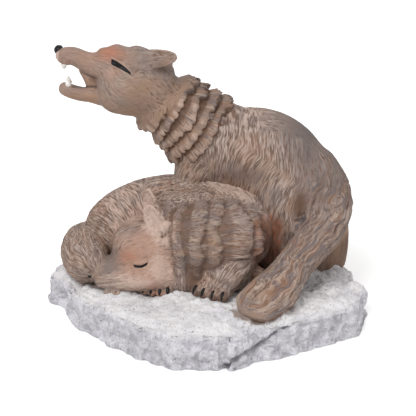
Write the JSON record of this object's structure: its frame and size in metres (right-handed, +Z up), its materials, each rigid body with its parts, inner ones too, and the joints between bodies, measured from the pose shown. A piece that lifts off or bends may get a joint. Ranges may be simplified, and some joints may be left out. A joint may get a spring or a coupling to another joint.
{
  "type": "wolf figurine",
  "caption": "cast figurine of a seated wolf howling over a second wolf that lies curled asleep, both on a craggy snow-covered rock with a flat underside",
  "frame": {"origin": "the middle of the rock's flat underside, on the surface the figurine stands on", "axes": "+X to the end with the wolf's tail, the howling head points to -X; +Y to the back; +Z up"},
  "size_m": [0.1299, 0.1056, 0.1027],
  "materials": {
    "painted_fur": "cast resin painted in grey-brown fur tones, satin matt",
    "painted_snow": "cast resin painted as granular snow over pale grey rock, matt",
    "painted_black": "black paint of the noses, eyes and claws, satin",
    "painted_teeth": "off-white paint of the teeth, satin"
  },
  "bodies": {
    "root": {"wolf_figurine": "painted_fur"}
  },
  "joints": []
}
